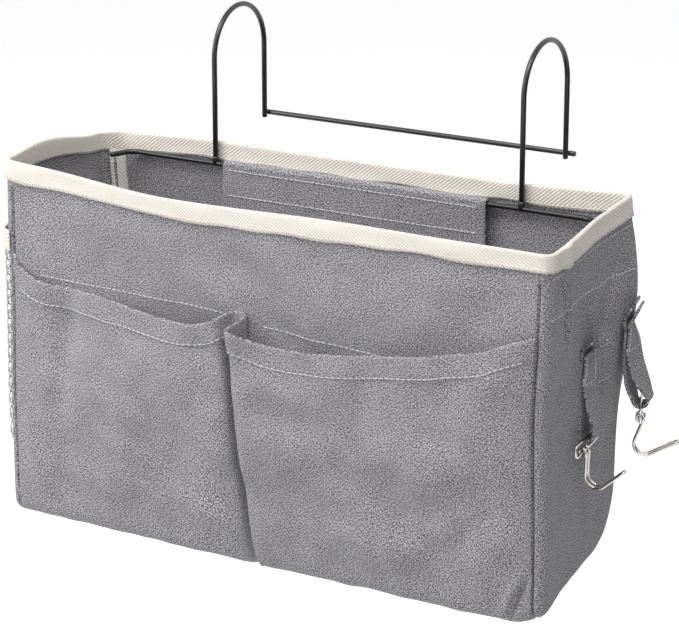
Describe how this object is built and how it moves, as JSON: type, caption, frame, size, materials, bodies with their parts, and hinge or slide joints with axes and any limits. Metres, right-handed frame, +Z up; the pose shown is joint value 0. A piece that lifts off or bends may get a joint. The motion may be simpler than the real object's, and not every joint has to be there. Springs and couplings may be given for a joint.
{
  "type": "hanging bedside caddy",
  "caption": "Open canvas box bag with front pockets and an end net pocket on a wire hanger whose arched hooks go over a rail; J hooks hang from straps on one end",
  "frame": {"origin": "rail saddle: under the crown of the arches, midway between the two rail hooks", "axes": "+X across the bag to the strap end, +Y back over the rail, +Z up"},
  "size_m": [0.3672, 0.1648, 0.2724],
  "materials": {
    "grey_canvas": "matt plain-weave canvas",
    "cream_twill": "matt herringbone tape",
    "pale_net": "open knitted net",
    "fastening_tape": "napped fastening tape",
    "black_wire": "satin black coating",
    "bright_nickel": "bright nickel plating"
  },
  "bodies": {
    "hanger": {"lower_bar": "black_wire", "left_hook_wire": "black_wire", "right_hook_wire": "black_wire", "rear_crossbar": "black_wire"},
    "bag": {"front_panel": "grey_canvas", "back_panel": "grey_canvas", "base_panel": "grey_canvas", "left_side_panel": "grey_canvas", "right_side_panel": "grey_canvas", "rim_binding": "cream_twill", "left_pocket": "grey_canvas", "right_pocket": "grey_canvas", "mesh_pocket": "pale_net", "mesh_pocket_tape": "cream_twill", "left_seam_tape": "cream_twill", "right_seam_tape": "cream_twill", "flap_heading": "grey_canvas", "hook_tape": "fastening_tape", "front_strap": "grey_canvas", "rear_strap": "grey_canvas"},
    "flap": {"retaining_flap": "grey_canvas", "loop_tape": "fastening_tape"},
    "front_ring": {"front_ring": "bright_nickel"},
    "front_hook": {"front_hook": "bright_nickel"},
    "rear_ring": {"rear_ring": "bright_nickel"},
    "rear_hook": {"rear_hook": "bright_nickel"}
  },
  "joints": [
    {"name": "bag_swing", "type": "hinge", "parent": "hanger", "child": "bag", "pos_m": [0, -0.0266, -0.084], "axis": [-1, 0, 0], "range_deg": [0, 90]},
    {"name": "flap_lift", "type": "hinge", "parent": "bag", "child": "flap", "pos_m": [-0.00675, -0.0289, -0.0817], "axis": [-1, 0, 0], "range_deg": [0, 150]},
    {"name": "front_ring_swing", "type": "hinge", "parent": "bag", "child": "front_ring", "pos_m": [0.1567, -0.06768, -0.18498], "axis": [0, -0.9877, -0.1564], "range_deg": [0, 60]},
    {"name": "front_hook_swing", "type": "hinge", "parent": "front_ring", "child": "front_hook", "pos_m": [0.1567, -0.07422, -0.1929], "axis": [0, -0.9877, -0.1564], "range_deg": [0, 50]},
    {"name": "rear_ring_swing", "type": "hinge", "parent": "bag", "child": "rear_ring", "pos_m": [0.16949, -0.03209, -0.17534], "axis": [0.3741, -0.9259, -0.0523], "range_deg": [-8, 75]},
    {"name": "rear_hook_swing", "type": "hinge", "parent": "rear_ring", "child": "rear_hook", "pos_m": [0.17224, -0.03889, -0.18254], "axis": [0.3741, -0.9259, -0.0523], "range_deg": [-8, 60]}
  ]
}
